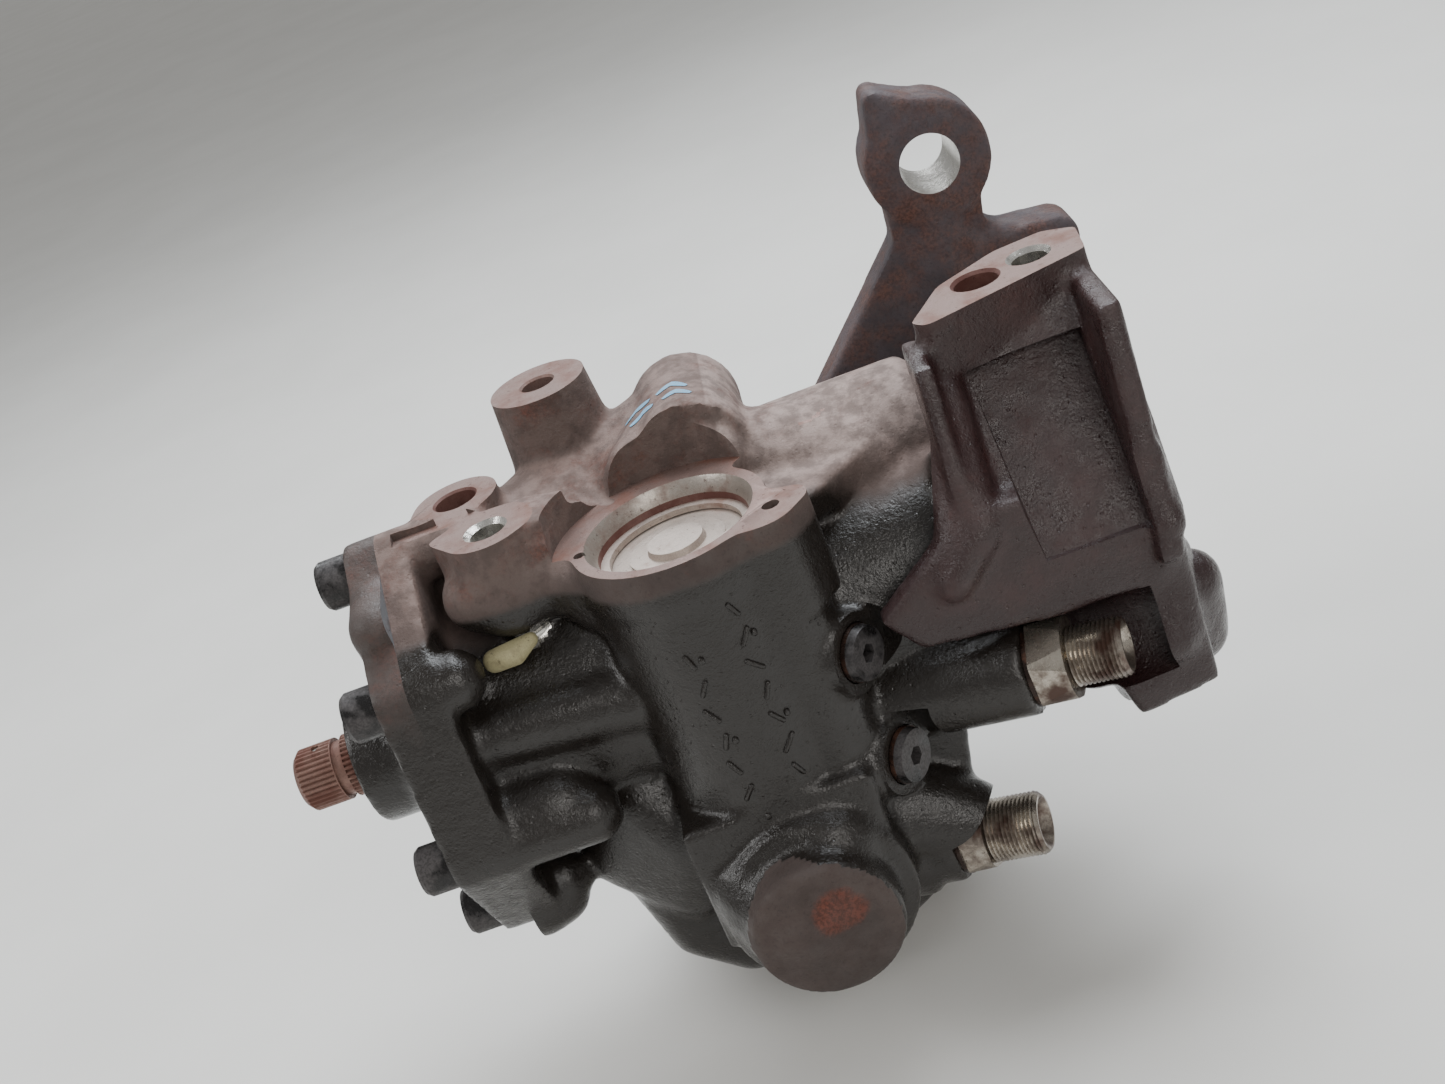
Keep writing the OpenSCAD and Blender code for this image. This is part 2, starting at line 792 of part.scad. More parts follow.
module pitman_arm() {
  color([0.28, 0.24, 0.25]) framed() difference() {
    union() {
      along_y(arm_y - 15, arm_y + 11, 35);
      hull() {
        along_y(arm_y - 11, arm_y + 9, 33);
        translate([116, 0, 138]) along_y(arm_y - 10, arm_y + 8, 22);
        translate([144, 0, 130]) along_y(arm_y - 10, arm_y + 8, 10);
      }
      hull() {
        translate([118, 0, 150]) along_y(arm_y - 10, arm_y + 8, 17);
        translate([eye_x, 0, eye_z]) along_y(arm_y - 10, arm_y + 8, 19);
      }
      hull() {
        translate([eye_x, 0, eye_z]) along_y(arm_y - 14, arm_y + 12, 21.5);
        translate([eye_x - 9, 0, eye_z + 24]) along_y(arm_y - 12, arm_y + 10, 5);
      }
      hull() {
        translate([132, 0, 130]) along_y(arm_y - 12, arm_y + 10, 16);
        translate([159, 0, 134]) along_y(arm_y - 12, arm_y + 10, 9);
      }
    }
    translate([eye_x, 0, eye_z]) along_y(arm_y - 15, arm_y + 13, eye_r_big, eye_r_small);
    along_y(arm_y - 16, arm_y + 12, 17.2, 16.6);
  }
}

module pitman_nut() {
  color([0.34, 0.3, 0.28]) framed() translate([0, arm_y + 13, 0]) turned_to_y() difference() {
    intersection() {
      hex_prism(41, 15);
      along_z(0, 15, 23.4, 21.5);
    }
    along_z(-1, 16, 13.5);
  }
}

module pitman_washer() {
  color([0.36, 0.33, 0.3]) framed() turned_to_y() ring(24, 13.5, arm_y + 11, arm_y + 13);
}

// ---------- worm and valve ----------

// Section of a ball-screw thread; side is -1 for the worm and 1 for the nut
module screw_section(land_r, side) {
  reach = groove_r * 0.97;
  turn = reach / worm_lead * 360;
  function depth(a) = ball_circle_r + side * sqrt(groove_r * groove_r - a * a);
  polygon(concat(
    [for (i = [0 : 12]) let (f = -turn + i * turn / 6, a = f / 360 * worm_lead)
      depth(a) * [cos(f), sin(f)]],
    [for (i = [1 : 9]) let (f = turn + i * (360 - 2 * turn) / 10) land_r * [cos(f), sin(f)]]
  ));
}

module screw_length(x0, x1, land_r, side) {
  turns = (x1 - x0) / worm_lead;
  rotate([0, 90, 0]) rotate([0, 0, x0 / worm_lead * 360]) translate([0, 0, x0])
    linear_extrude(height = x1 - x0, twist = -360 * turns, slices = ceil(turns * 18), segments = 22)
      screw_section(land_r, side);
}

module worm_shaft() {
  color([0.62, 0.62, 0.64]) framed() on_rack() difference() {
    union() {
      along_x(-97.5, -81, 15);
      along_x(-81, -77.5, 17.5);
      along_x(-77.5, -76, 11, 9.4);
      screw_length(-76, 19, worm_r, -1);
      along_x(19, 21, 9.4, 8);
    }
    intersection() {
      along_x(-99, -89, 9.9);
      span([-99, -5.6, -12], [-88, 5.6, 12]);
    }
    along_x(-99, -66, 3.05);
    translate([-79.3, 0, 0]) along_z(-14, 14, 1.5, $fn = 32);
    translate([0, 13.5, 0]) along_x(-98, -94, 1, $fn = 24);
  }
}

module valve_sleeve() {
  color([0.7, 0.7, 0.72]) framed() on_rack() translate([-119.5, 0, 0]) turned_to_x()
    difference() {
      union() {
        along_z(0, 22, sleeve_r);
        translate([0, 13.5, 0]) along_z(20, 25, 1, $fn = 24);
      }
      along_z(-1, 23, 10.05);
      for (z = [4.4, 10, 15.6]) {
        ring(20, 17, z, z + 2.4);
        for (i = [0 : 3]) {
          rotate([0, 0, i * 90 + z * 6]) translate([0, 0, z + 1.2]) rotate([0, 90, 0])
            cylinder(r = 1, h = 24, $fn = 20);
        }
      }
      for (z = [1.4, 7.6, 13.2, 18.8]) {
        ring(20, 17.4, z, z + 1.6);
      }
    }
}

module sleeve_rings() {
  color([0.35, 0.22, 0.16]) framed() on_rack() translate([-119.5, 0, 0]) turned_to_x()
    for (z = [1.4, 7.6, 13.2, 18.8]) {
      ring(sleeve_r, 17.4, z + 0.1, z + 1.5);
    }
}

module serrations(x0, x1, r) {
  on_stub_ring() translate([x0, 0, r]) rotate([45, 0, 0]) cube([x1 - x0, 1.1, 1.1]);
}

module on_stub_ring() {
  for (i = [0 : 35]) {
    rotate([i * 10, 0, 0]) children();
  }
}

module input_shaft() {
  color([0.42, 0.3, 0.27]) framed() on_rack() difference() {
    union() {
      along_x(stub_x, stub_x + 2, stub_r - 2, stub_r);
      along_x(stub_x + 2, stub_x + 15, stub_r);
      along_x(stub_x + 15, stub_x + 18.5, stub_r - 1.4);
      along_x(stub_x + 18.5, stub_x + 23, stub_r);
      along_x(stub_x + 23, -137, 11.3);
      along_x(-137, -121, 11);
      along_x(-121, -98, 10);
      intersection() {
        along_x(-98.5, -91, 9.4);
        span([-99, -4.5, -12], [-90, 4.5, 12]);
      }
    }
    along_x(stub_x + 5, -90, 3.6);
    translate([stub_x + 9, 0, 0]) along_z(-14, 14, 1.5, $fn = 32);
    serrations(stub_x - 1, stub_x + 14.6, stub_r - 0.75);
    serrations(stub_x + 18.9, stub_x + 23.2, stub_r - 0.75);
    for (i = [0 : 5]) {
      rotate([i * 60 + 15, 0, 0]) span([-117, 9, -1], [-101, 12, 1]);
    }
  }
}

module torsion_bar() {
  color([0.55, 0.56, 0.6]) framed() on_rack() difference() {
    union() {
      along_x(stub_x + 5.4, stub_x + 14, 3.55);
      along_x(stub_x + 14, -92, 2.6);
      along_x(-92, -70, 3);
    }
    translate([stub_x + 9, 0, 0]) along_z(-5, 5, 1.95, $fn = 32);
    translate([-79.3, 0, 0]) along_z(-5, 5, 1.5, $fn = 32);
  }
}

module bar_pin_input() {
  color([0.5, 0.5, 0.52]) framed() on_rack()
    translate([stub_x + 9, 0, 0]) along_z(-10.4, 10.4, 1.5, $fn = 32);
}

module bar_pin_worm() {
  color([0.5, 0.5, 0.52]) framed() on_rack()
    translate([-79.3, 0, 0]) along_z(-14, 14, 1.5, $fn = 32);
}

// ---------- rack piston ----------

module rack_piston() {
  piston_r = bore_r - running_gap;
  pitch_z = pitch_r - centre_distance;
  tip_z = pitch_z - rack_addendum;
  root_z = pitch_z + sector_addendum + 0.8;
  color([0.56, 0.57, 0.6]) framed() on_rack() difference() {
    along_x(piston_x0, piston_x1, piston_r);
    span([piston_x0 - 1, -40, -40], [50, 40, tip_z]);
    for (k = [-2 : 2]) {
      translate([k * rack_pitch, 40, 0]) rotate([90, 0, 0]) linear_extrude(height = 80)
        polygon(rack_gap(pitch_z, tip_z - 1, root_z));
    }
    along_x(piston_x0 - 1, 52, 14);
    screw_length(-45, -6, ball_circle_r - 0.6, 1);
    // Seat for the ball guides
    span([-46, -17, 19], [-4, 17, 40]);
    // Ring groove in the head
    translate([64, 0, 0]) turned_to_x() ring(40, piston_r - 3.5, 0, 4);
    along_x(60, piston_x1 + 1, 22, 24);
    along_x(51, 61, 5);
    for (x = [-38, -12]) {
      translate([x, 0, 0]) along_z(10, 20, 3.2, $fn = 32);
    }
    for (y = [-13, 13]) {
      translate([-25, y, 0]) along_z(11, 20, 2, $fn = 24);
    }
  }
}

function rack_gap(pitch_z, low_z, high_z) = let (
  half = rack_pitch / 4 + flank_gap / 2,
  low = half + (pitch_z - low_z) * tan(pressure_angle),
  high = half - (high_z - pitch_z) * tan(pressure_angle)
) [[-low, low_z], [low, low_z], [high, high_z], [-high, high_z]];

module piston_ring() {
  color([0.3, 0.2, 0.14]) framed() on_rack() translate([64, 0, 0]) turned_to_x()
    ring(bore_r - running_gap, bore_r - running_gap - 3.5, 0.1, 3.9);
}

module ball_guides() {
  color([0.6, 0.6, 0.62]) framed() on_rack() {
    for (x = [-38, -12]) {
      translate([x, 0, 0]) {
        along_z(17, 24, 3.2, $fn = 32);
        translate([0, 0, 24]) sphere(r = 3.8, $fn = 32);
      }
    }
    translate([0, 0, 24]) along_x(-38, -12, 3.8, $fn = 32);
  }
}

module guide_clamp() {
  color([0.5, 0.5, 0.5]) framed() on_rack() difference() {
    union() {
      span([-30, -16.5, 19.05], [-20, -9, 21.5]);
      span([-30, 9, 19.05], [-20, 16.5, 21.5]);
      translate([0, 0, 24]) along_x(-30, -20, 4.9, $fn = 48);
      span([-30, -9, 19.05], [-20, 9, 24]);
    }
    translate([0, 0, 24]) along_x(-31, -19, 3.8, $fn = 32);
    for (y = [-13, 13]) {
      translate([-25, y, 0]) along_z(18, 23, 2.1, $fn = 24);
    }
  }
}

module clamp_screws() {
  color([0.4, 0.4, 0.42]) framed() on_rack() for (y = [-13, 13]) {
    translate([-25, y, 0]) difference() {
      union() {
        along_z(12, 21.5, 2, $fn = 24);
        along_z(21.55, 24, 3.3, 3, $fn = 24);
      }
      span([-4, -0.5, 23], [4, 0.5, 25]);
    }
  }
}

module steel_balls() {
  count = 27;
  step = 1;
  color([0.85, 0.85, 0.87]) framed() on_rack() for (i = [0 : count - 1]) {
    x = -38 + i * step;
    rotate([0, 90, 0]) rotate([0, 0, x / worm_lead * 360])
      translate([ball_circle_r, 0, x]) sphere(r = ball_r, $fn = 24);
  }
}

module piston_plug() {
  color([0.5, 0.5, 0.52]) framed() on_rack() difference() {
    along_x(52.5, 60, 5);
    translate([57, 0, 0]) turned_to_x() hex_prism(5, 4);
  }
}

gear_housing();
end_bracket();
bracket_bolts();
bracket_seal();
valve_cover();
cover_bolts();
cover_seal();
input_bearing();
input_seal();
input_dust_seal();
worm_bearing_outer();
sector_cover();
sector_cover_bolts();
sector_cover_seal();
sector_bearing_front();
sector_bearing_rear();
sector_thrust_washer();
sector_oil_seal();
sector_dust_seal();
column_plug();
snap_ring();
plug_seal();
limiter_seat();
pressure_fitting();
return_fitting();
fitting_washers();
port_plugs();
plug_washers();
sector_shaft();
pitman_arm();
pitman_nut();
pitman_washer();
worm_shaft();
worm_bearing_inner();
valve_sleeve();
sleeve_rings();
input_shaft();
torsion_bar();
bar_pin_input();
bar_pin_worm();
rack_piston();
piston_ring();
ball_guides();
guide_clamp();
clamp_screws();
steel_balls();
piston_plug();
limiter_spool();
limiter_spring();
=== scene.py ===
import json
import math

import bmesh
import bpy
from mathutils import Matrix, Vector


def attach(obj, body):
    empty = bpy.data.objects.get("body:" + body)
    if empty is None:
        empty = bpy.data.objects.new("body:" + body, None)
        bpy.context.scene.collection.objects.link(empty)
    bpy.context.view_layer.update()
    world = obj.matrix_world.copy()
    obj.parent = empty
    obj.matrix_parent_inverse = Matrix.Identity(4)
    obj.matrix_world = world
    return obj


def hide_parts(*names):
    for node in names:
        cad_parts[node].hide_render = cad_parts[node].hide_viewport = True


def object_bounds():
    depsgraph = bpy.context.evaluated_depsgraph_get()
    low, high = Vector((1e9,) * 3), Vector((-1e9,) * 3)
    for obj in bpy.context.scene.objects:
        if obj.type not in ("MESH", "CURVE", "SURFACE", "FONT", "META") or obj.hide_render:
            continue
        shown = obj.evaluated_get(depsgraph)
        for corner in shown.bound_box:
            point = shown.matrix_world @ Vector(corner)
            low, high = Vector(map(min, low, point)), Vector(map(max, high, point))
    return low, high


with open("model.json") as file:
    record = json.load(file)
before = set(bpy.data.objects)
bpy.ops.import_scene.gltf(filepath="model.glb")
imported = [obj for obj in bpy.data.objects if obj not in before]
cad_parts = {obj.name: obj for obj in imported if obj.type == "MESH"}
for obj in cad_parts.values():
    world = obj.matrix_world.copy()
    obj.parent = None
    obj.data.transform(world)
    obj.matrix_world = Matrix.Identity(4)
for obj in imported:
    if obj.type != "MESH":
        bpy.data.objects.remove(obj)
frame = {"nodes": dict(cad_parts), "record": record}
cad_lo, cad_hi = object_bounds()
NODES = frame["nodes"]
BODY = {n: b for b, ns in frame["record"]["behaviour"]["bodies"].items() for n in ns}
# Where the row frame's zero lies, in mm from the sector axis
ORIGIN = (-36, 46.5, 166)


def P(x, y, z):
    """A point in mm from the sector axis, in the plane of the input axis, as a place in the row frame."""
    return Vector([(c - o) / 1000 for c, o in zip((x, y, z), ORIGIN)])


def millimetres(place):
    """The reverse of P, as plain numbers."""
    return tuple(c * 1000 + o for c, o in zip(place, ORIGIN))


# ---------- camera ----------

cam = bpy.data.objects.new("Camera", bpy.data.cameras.new("Camera"))
bpy.context.scene.collection.objects.link(cam)
cam.data.sensor_width = 36
cam.data.lens = 45.87
cam.data.clip_start = 0.02
cam.data.clip_end = 20
cam.matrix_world = Matrix((
    (0.9362, 0.3421, 0.0805, 0.0949),
    (-0.0794, 0.4292, -0.8997, -0.6161),
    (-0.3423, 0.8359, 0.4290, 0.2102),
    (0, 0, 0, 1),
))
bpy.context.scene.camera = cam

# ---------- material graph helpers ----------


class Graph:
    """A node material built with short calls; every pattern is placed by object coordinates in metres."""

    def __init__(self, name):
        self.mat = bpy.data.materials.new(name)
        self.mat.use_nodes = True
        self.t = self.mat.node_tree
        self.b = self.t.nodes["Principled BSDF"]
        self.pos = self.add("ShaderNodeTexCoord").outputs["Object"]
        self.normal = self.add("ShaderNodeNewGeometry").outputs["Normal"]

    def add(self, kind, **props):
        n = self.t.nodes.new(kind)
        for k, v in props.items():
            setattr(n, k, v)
        return n

    def put(self, socket, value):
        if isinstance(value, bpy.types.NodeSocket):
            self.t.links.new(value, socket)
        elif isinstance(value, (tuple, list)) and len(value) == 3 and len(socket.default_value) == 4:
            socket.default_value = (*value, 1)
        else:
            socket.default_value = value

    def noise(self, scale, detail=4, rough=0.6, stretch=None, seed=0.0):
        n = self.add("ShaderNodeTexNoise", noise_dimensions="4D")
        m = self.add("ShaderNodeMapping")
        self.put(m.inputs["Vector"], self.pos)
        m.inputs["Scale"].default_value = stretch or (1, 1, 1)
        self.put(n.inputs["Vector"], m.outputs[0])
        n.inputs["W"].default_value = seed
        n.inputs["Scale"].default_value = scale
        n.inputs["Detail"].default_value = detail
        n.inputs["Roughness"].default_value = rough
        return n.outputs["Fac"]

    def cells(self, scale, seed=0.0):
        n = self.add("ShaderNodeTexVoronoi", voronoi_dimensions="4D")
        self.put(n.inputs["Vector"], self.pos)
        n.inputs["W"].default_value = seed
        n.inputs["Scale"].default_value = scale
        return n.outputs["Distance"]

    def math(self, op, a, b):
        n = self.add("ShaderNodeMath", operation=op)
        self.put(n.inputs[0], a)
        self.put(n.inputs[1], b)
        return n.outputs[0]

    def band(self, value, lo, hi, out0=0.0, out1=1.0):
        n = self.add("ShaderNodeMapRange", interpolation_type="SMOOTHSTEP")
        for i, v in enumerate((value, lo, hi, out0, out1)):
            self.put(n.inputs[i], v)
        return n.outputs[0]

    def mix(self, fac, a, b):
        n = self.add("ShaderNodeMix", data_type="RGBA")
        self.put(n.inputs[0], fac)
        self.put(n.inputs[6], a)
        self.put(n.inputs[7], b)
        return n.outputs[2]

    def attr(self, name):
        return self.add("ShaderNodeAttribute", attribute_name=name).outputs["Fac"]

    def along(self, direction, vector):
        n = self.add("ShaderNodeVectorMath", operation="DOT_PRODUCT")
        self.put(n.inputs[0], vector)
        n.inputs[1].default_value = direction
        return n.outputs["Value"]

    def bump(self, height, strength, distance):
        n = self.add("ShaderNodeBump")
        n.inputs["Strength"].default_value = strength
        n.inputs["Distance"].default_value = distance
        self.put(n.inputs["Height"], height)
        return n.outputs[0]

    def done(self, colour, rough, normal, metallic=0.0):
        self.put(self.b.inputs["Base Color"], colour)
        self.put(self.b.inputs["Roughness"], rough)
        self.put(self.b.inputs["Normal"], normal)
        self.put(self.b.inputs["Metallic"], metallic)
        return self.mat


UP = (0.351, 0.214, 0.911)


def cast_iron(name, dry, pale, wet, rust, grain=1.0):
    """Sand-cast iron: dry skin, dust on what faces up, oil and rust where the masks say; where the dust mask is
    near full the colour goes paler still, part dust and part painted highlight.
    """
    g = Graph(name)
    oil, dust, red = g.attr("oil"), g.attr("dust"), g.attr("rust")
    big, mid, fine = g.noise(28, 5), g.noise(140, 4, seed=3.1), g.noise(900, 3, 0.7, seed=5.7)
    skin = g.mix(g.band(big, 0.35, 0.68), dry, tuple(c * 1.45 for c in dry))
    skin = g.mix(g.band(fine, 0.52, 0.7, 0, 0.45), skin, tuple(c * 0.45 for c in dry))
    facing = g.band(g.along(UP, g.normal), 0.1, 0.9)
    settled = g.band(g.math("ADD", dust, g.math("MULTIPLY", mid, 0.5)), 0.35, 1.0)
    dusty = g.math("MULTIPLY", settled, g.math("ADD", g.math("MULTIPLY", facing, 0.6), 0.4))
    # Near-full dust mask gives a paler colour: thicker dust plus a painted highlight.
    dust_with_painted_highlight = tuple(c * k for c, k in zip(pale, (1.5, 1.62, 1.66)))
    dust_film_and_painted_highlight = g.mix(g.band(dust, 0.82, 1.0), pale, dust_with_painted_highlight)
    col = g.mix(dusty, skin, g.mix(g.band(mid, 0.4, 0.62, 0, 0.5), dust_film_and_painted_highlight, skin))
    spots = g.band(g.math("ADD", red, g.math("MULTIPLY", g.noise(75, 5, 0.7, seed=8.3), 0.9)), 0.72, 1.05)
    col = g.mix(spots, col, g.mix(g.band(fine, 0.4, 0.6), rust, tuple(c * 0.5 for c in rust)))
    film = g.band(g.math("ADD", oil, g.math("MULTIPLY", g.noise(46, 5, 0.65, seed=1.4), 0.6)), 0.62, 0.98)
    col = g.mix(film, col, wet)
    blotch = g.noise(210, 3, 0.6, seed=4.4)
    shine = g.band(blotch, 0.4, 0.62, 0.08, 0.28)
    dull = g.math("MULTIPLY", g.math("SUBTRACT", 1.0, film), g.band(mid, 0.3, 0.7, 0.62, 0.9))
    rough = g.math("ADD", g.math("MULTIPLY", film, shine), dull)
    height = g.math("ADD", g.math("MULTIPLY", mid, 0.9), g.math("MULTIPLY", fine, 0.5))
    height = g.math("SUBTRACT", height, g.band(g.cells(420, 2.2), 0.12, 0.3, 0.25, 0))
    nrm = g.bump(height, 0.55 * grain, 0.0012)
    return g.done(col, rough, nrm, g.band(film, 0, 1, 0.05, 0.0))


def machined(name, base, dirt, rough=0.45, lines=(1, 1, 1), metallic=0.55, wear=0.5):
    """A cut face that has dulled: fine tool lines, stains and specks of rust."""
    g = Graph(name)
    fine = g.noise(2600, 2, 0.5, stretch=lines, seed=1.0)
    stain = g.noise(70, 5, 0.65, seed=6.2)
    speck = g.noise(520, 3, 0.7, seed=2.6)
    col = g.mix(g.band(fine, 0.35, 0.65, 0, 0.5), base, tuple(c * 0.62 for c in base))
    col = g.mix(g.band(stain, 0.6 - wear * 0.3, 0.78 - wear * 0.2), col, dirt)
    col = g.mix(g.band(speck, 0.6, 0.7, 0, 0.8), col, tuple(c * 0.45 for c in dirt))
    stained = g.band(stain, 0.3, 0.75, rough - 0.08, rough + 0.22)
    r = g.math("ADD", stained, g.band(speck, 0.55, 0.7, 0, 0.15))
    h = g.math("ADD", g.math("MULTIPLY", fine, 0.35), g.math("MULTIPLY", speck, 0.8))
    return g.done(col, r, g.bump(h, 0.3, 0.0004), g.band(stain, 0.45, 0.7, metallic, metallic * 0.4))


def oily(name, base, wet, film=0.5, metallic=0.3):
    """Steel or rubber under a broken film of old oil."""
    g = Graph(name)
    f = g.band(g.noise(95, 5, 0.65, seed=2.0), 0.72 - film * 0.5, 0.9 - film * 0.5)
    fine = g.noise(1300, 3, 0.6, seed=7.0)
    col = g.mix(g.band(fine, 0.4, 0.65), base, tuple(c * 0.6 for c in base))
    col = g.mix(f, col, wet)
    r = g.math("ADD", g.math("MULTIPLY", f, -0.38), g.band(fine, 0.3, 0.7, 0.52, 0.72))
    h = g.math("ADD", g.math("MULTIPLY", fine, 0.4), g.noise(240, 3, seed=3.0))
    return g.done(col, r, g.bump(h, 0.35, 0.0006), metallic)


M = {
    "housing": cast_iron(
        "housing_iron",
        dry=(0.05, 0.036, 0.032), pale=(0.22, 0.155, 0.135),
        wet=(0.017, 0.014, 0.012), rust=(0.14, 0.042, 0.026),
    ),
    "bracket": cast_iron(
        "bracket_iron", grain=1.3,
        dry=(0.045, 0.024, 0.023), pale=(0.2, 0.125, 0.11), wet=(0.024, 0.012, 0.012), rust=(0.1, 0.03, 0.024),
    ),
    "arm": cast_iron(
        "arm_steel", grain=1.1,
        dry=(0.05, 0.04, 0.045), pale=(0.12, 0.09, 0.09), wet=(0.02, 0.016, 0.017), rust=(0.12, 0.052, 0.038),
    ),
    "cut_pink": machined("cut_pink", (0.23, 0.155, 0.135), (0.16, 0.075, 0.055)),
    "cut_grey": machined("cut_grey", (0.3, 0.33, 0.36), (0.12, 0.09, 0.085), 0.4),
    "cut_pale": machined("cut_pale", (0.38, 0.34, 0.3), (0.16, 0.1, 0.08), 0.35, metallic=0.6),
    "bore_rust": machined(
        "bore_rust", (0.17, 0.085, 0.07), (0.09, 0.03, 0.022), 0.6, metallic=0.2, wear=0.8,
    ),
    "bright": machined(
        "bright_steel", (0.66, 0.64, 0.6), (0.2, 0.14, 0.1), 0.22, metallic=0.95, wear=0.15,
    ),
    "stub": machined(
        "stub_steel", (0.26, 0.155, 0.125), (0.13, 0.05, 0.035), 0.42, metallic=0.55, wear=0.7,
    ),
    "plug": machined("plug_steel", (0.5, 0.43, 0.38), (0.24, 0.15, 0.12), 0.38, metallic=0.6, wear=0.35),
    "union": machined(
        "union_steel", (0.55, 0.5, 0.43), (0.07, 0.038, 0.028), 0.25, metallic=0.9, wear=0.75,
    ),
    "paint": machined("marker_paint", (0.2, 0.42, 0.62), (0.3, 0.36, 0.4), 0.6, metallic=0.0, wear=0.3),
    "sealant": machined(
        "dried_sealant", (0.4, 0.36, 0.2), (0.16, 0.13, 0.07), 0.7, metallic=0.0, wear=0.6,
    ),
    "fastener": oily("fastener_steel", (0.075, 0.068, 0.068), (0.012, 0.011, 0.011), 0.6),
    "inner": oily("inner_steel", (0.4, 0.38, 0.35), (0.13, 0.1, 0.07), 0.4, 0.9),
    "rubber": oily("black_rubber", (0.02, 0.019, 0.018), (0.01, 0.009, 0.009), 0.4, 0.0),
    "plastic": oily("ring_plastic", (0.12, 0.085, 0.055), (0.05, 0.03, 0.02), 0.4, 0.0),
    "copper": oily("copper", (0.12, 0.055, 0.035), (0.03, 0.018, 0.014), 0.7, 0.6),
}

for name, node in NODES.items():
    node.data.materials.clear()
    node.data.materials.append(M["fastener"])

# ---------- shape helpers ----------


def solid(points):
    """Convex hull of points, in mm from the crossing of the shafts."""
    bm = bmesh.new()
    for p in points:
        bm.verts.new(P(*p))
    bmesh.ops.convex_hull(bm, input=bm.verts)
    loose = [v for v in bm.verts if not v.link_faces]
    bmesh.ops.delete(bm, geom=loose, context="VERTS")
    bmesh.ops.recalc_face_normals(bm, faces=bm.faces)
    return bm


def circle(centre, axis, r, seg=48):
    a = Vector(axis).normalized()
    u = a.orthogonal().normalized()
    v = a.cross(u)
    c = Vector(centre)
    turns = [2 * math.pi * i / seg for i in range(seg)]
    return [tuple(c + r * (math.cos(t) * u + math.sin(t) * v)) for t in turns]


def rod(a, b, r1, r2=None, seg=48):
    """Round bar or cone from a to b."""
    d = Vector(b) - Vector(a)
    return solid(circle(a, d, r1, seg) + circle(b, d, r1 if r2 is None else r2, seg))


def block(lo, hi):
    return solid([(x, y, z) for x in (lo[0], hi[0]) for y in (lo[1], hi[1]) for z in (lo[2], hi[2])])


def balls(*items):
    """Convex skin over balls given as (x, y, z, r)."""
    pts = []
    for x, y, z, r in items:
        for i in range(1, 8):
            lat = math.pi * i / 8 - math.pi / 2
            pts += circle((x, y, z + r * math.sin(lat)), (0, 0, 1), r * math.cos(lat), 16)
        pts += [(x, y, z + r), (x, y, z - r)]
    return solid(pts)


def joined(parts, name):
    mesh = bpy.data.meshes.new(name)
    out = bmesh.new()
    for bm in parts:
        tmp = bpy.data.meshes.new("tmp")
        bm.to_mesh(tmp)
        out.from_mesh(tmp)
        bpy.data.meshes.remove(tmp)
        bm.free()
    out.to_mesh(mesh)
    out.free()
    o = bpy.data.objects.new(name, mesh)
    bpy.context.scene.collection.objects.link(o)
    return o


def applied(o):
    """The object with its modifiers worked into its mesh."""
    dg = bpy.context.evaluated_depsgraph_get()
    mesh = bpy.data.meshes.new_from_object(o.evaluated_get(dg))
    o.modifiers.clear()
    o.data = mesh
    return o


def cast(name, nodes, add, cut, voxel=0.0016, rounds=10):
    """The CAD solid with extra lumps, melted into one skin with soft corners, then machined."""
    o = joined(add, name)
    bm = bmesh.new()
    bm.from_mesh(o.data)
    for n in nodes:
        bm.from_mesh(NODES[n].data)
    bm.to_mesh(o.data)
    bm.free()
    m = o.modifiers.new("melt", "REMESH")
    m.mode = "VOXEL"
    m.voxel_size = voxel
    m = o.modifiers.new("soft", "SMOOTH")
    m.factor = 0.5
    m.iterations = rounds
    applied(o)
    for i, tool in enumerate(cut):
        t = joined([tool], "tool")
        m = o.modifiers.new("cut%d" % i, "BOOLEAN")
        m.operation = "DIFFERENCE"
        m.solver = "MANIFOLD"
        m.object = t
        applied(o)
        bpy.data.objects.remove(t)
    o.data.materials.clear()
    # Faces larger than the skin's own are machined ones and stay flat
    big = 12 * voxel * voxel
    o.data.polygons.foreach_set("use_smooth", [f.area < big for f in o.data.polygons])
    o.data.set_sharp_from_angle(angle=math.radians(38))
    return o


def finish_piece(o, nodes, materials, rules, masks):
    """Materials by place: rules are (index, test(place mm, normal)), the first that holds wins."""
    for m in materials:
        o.data.materials.append(M[m])
    for f in o.data.polygons:
        p = millimetres(f.center)
        for index, test in rules:
            if test(p, f.normal):
                f.material_index = index
                break
    for i, key in enumerate(("oil", "dust", "rust")):
        layer = o.data.attributes.new(key, "FLOAT", "POINT")
        layer.data.foreach_set("value", [masks[i](*millimetres(v.co), v.normal) for v in o.data.vertices])
    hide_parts(*nodes)
    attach(o, BODY[nodes[0]])
    return o


def ramp(x, lo, hi):
    """Smooth step from 0 at lo to 1 at hi."""
    t = min(1.0, max(0.0, (x - lo) / (hi - lo)))
    return t * t * (3 - 2 * t)


def near_axis(c, r, axis=2):
    """True on the walls of a hole of radius r through c along an axis."""
    i, j = [k for k in range(3) if k != axis]
    return lambda p, n: abs(n[axis]) < 0.85 and (p[i] - c[i]) ** 2 + (p[j] - c[j]) ** 2 < r * r


def level(z, c, r):
    """The flat top of a boss."""
    def test(p, n):
        return abs(p[2] - z) < 0.15 and n.z > 0.95 and (p[0] - c[0]) ** 2 + (p[1] - c[1]) ** 2 < r * r

    return test


# ---------- castings ----------

COVER_BOLTS = [(0, 68), (-41, 38), (-49, -22), (-26, -58), (30, -50), (44, 8), (36, 50)]
BRACKET_BOLTS = [(-24, 42), (-33, -34), (34, -34), (34, 34)]
